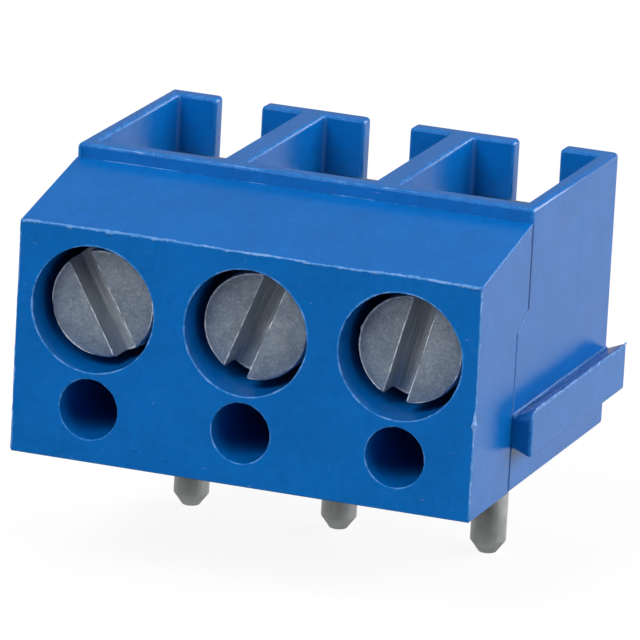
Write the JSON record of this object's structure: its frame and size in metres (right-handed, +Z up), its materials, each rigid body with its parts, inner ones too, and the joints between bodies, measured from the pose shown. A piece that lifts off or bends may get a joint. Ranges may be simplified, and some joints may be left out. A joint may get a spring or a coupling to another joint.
{
  "type": "pcb screw terminal block",
  "caption": "Blue circuit-board terminal block with front screws above front wire holes, round solder pins, open-topped rear chambers and a dovetail side rail.",
  "frame": {"origin": "on the board seat, under the middle of the block's width and depth", "axes": "+X along the row of poles to the right seen from the front, +Y from the front face to the back, +Z up from the board"},
  "size_m": [0.0159, 0.0126, 0.0127],
  "materials": {
    "housing_plastic": "moulded blue thermoplastic with a fine satin skin",
    "cage_metal": "tin-plated brass, dull",
    "screw_metal": "zinc-plated steel with turning marks, slot edges rubbed bright",
    "clamp_steel": "zinc-plated steel",
    "pin_tin": "matt tin plating with draw lines"
  },
  "bodies": {
    "housing": {"front_housing": "housing_plastic", "rear_housing": "housing_plastic", "clamp_cage_1": "cage_metal", "clamp_cage_2": "cage_metal", "clamp_cage_3": "cage_metal", "solder_pin_1": "pin_tin", "solder_pin_2": "pin_tin", "solder_pin_3": "pin_tin"},
    "wedge_1": {"wedge_1": "clamp_steel"},
    "screw_1": {"clamp_screw_1": "screw_metal"},
    "jaw_1": {"jaw_1": "clamp_steel"},
    "wedge_2": {"wedge_2": "clamp_steel"},
    "screw_2": {"clamp_screw_2": "screw_metal"},
    "jaw_2": {"jaw_2": "clamp_steel"},
    "wedge_3": {"wedge_3": "clamp_steel"},
    "screw_3": {"clamp_screw_3": "screw_metal"},
    "jaw_3": {"jaw_3": "clamp_steel"}
  },
  "joints": [
    {"name": "wedge_slide_1", "type": "slide", "parent": "housing", "child": "wedge_1", "axis": [0, 1, 0], "range_m": [0, 0.00175]},
    {"name": "screw_turn_1", "type": "hinge", "parent": "wedge_1", "child": "screw_1", "pos_m": [-0.00508, 0, 0.00493], "axis": [0, 1, 0], "range_deg": [0, 1260.01]},
    {"name": "jaw_fall_1", "type": "slide", "parent": "housing", "child": "jaw_1", "axis": [0, 0, -1], "range_m": [0, 0.0014]},
    {"name": "wedge_slide_2", "type": "slide", "parent": "housing", "child": "wedge_2", "axis": [0, 1, 0], "range_m": [-0.00003, 0.00172]},
    {"name": "screw_turn_2", "type": "hinge", "parent": "wedge_2", "child": "screw_2", "pos_m": [0, 0, 0.00493], "axis": [0, 1, 0], "range_deg": [-21.61, 1238.41]},
    {"name": "jaw_fall_2", "type": "slide", "parent": "housing", "child": "jaw_2", "axis": [0, 0, -1], "range_m": [-0.00003, 0.00138]},
    {"name": "wedge_slide_3", "type": "slide", "parent": "housing", "child": "wedge_3", "axis": [0, 1, 0], "range_m": [-0.0001, 0.00165]},
    {"name": "screw_turn_3", "type": "hinge", "parent": "wedge_3", "child": "screw_3", "pos_m": [0.00508, 0, 0.00493], "axis": [0, 1, 0], "range_deg": [-72.01, 1188.01]},
    {"name": "jaw_fall_3", "type": "slide", "parent": "housing", "child": "jaw_3", "axis": [0, 0, -1], "range_m": [-0.00008, 0.00132]}
  ],
  "couplings": [
    {"joint": "screw_turn_1", "follows": "wedge_slide_1", "rad_per_m": 12566},
    {"joint": "jaw_fall_1", "follows": "wedge_slide_1", "ratio": 0.8},
    {"joint": "screw_turn_2", "follows": "wedge_slide_2", "rad_per_m": 12566},
    {"joint": "jaw_fall_2", "follows": "wedge_slide_2", "ratio": 0.8},
    {"joint": "screw_turn_3", "follows": "wedge_slide_3", "rad_per_m": 12566},
    {"joint": "jaw_fall_3", "follows": "wedge_slide_3", "ratio": 0.8}
  ]
}
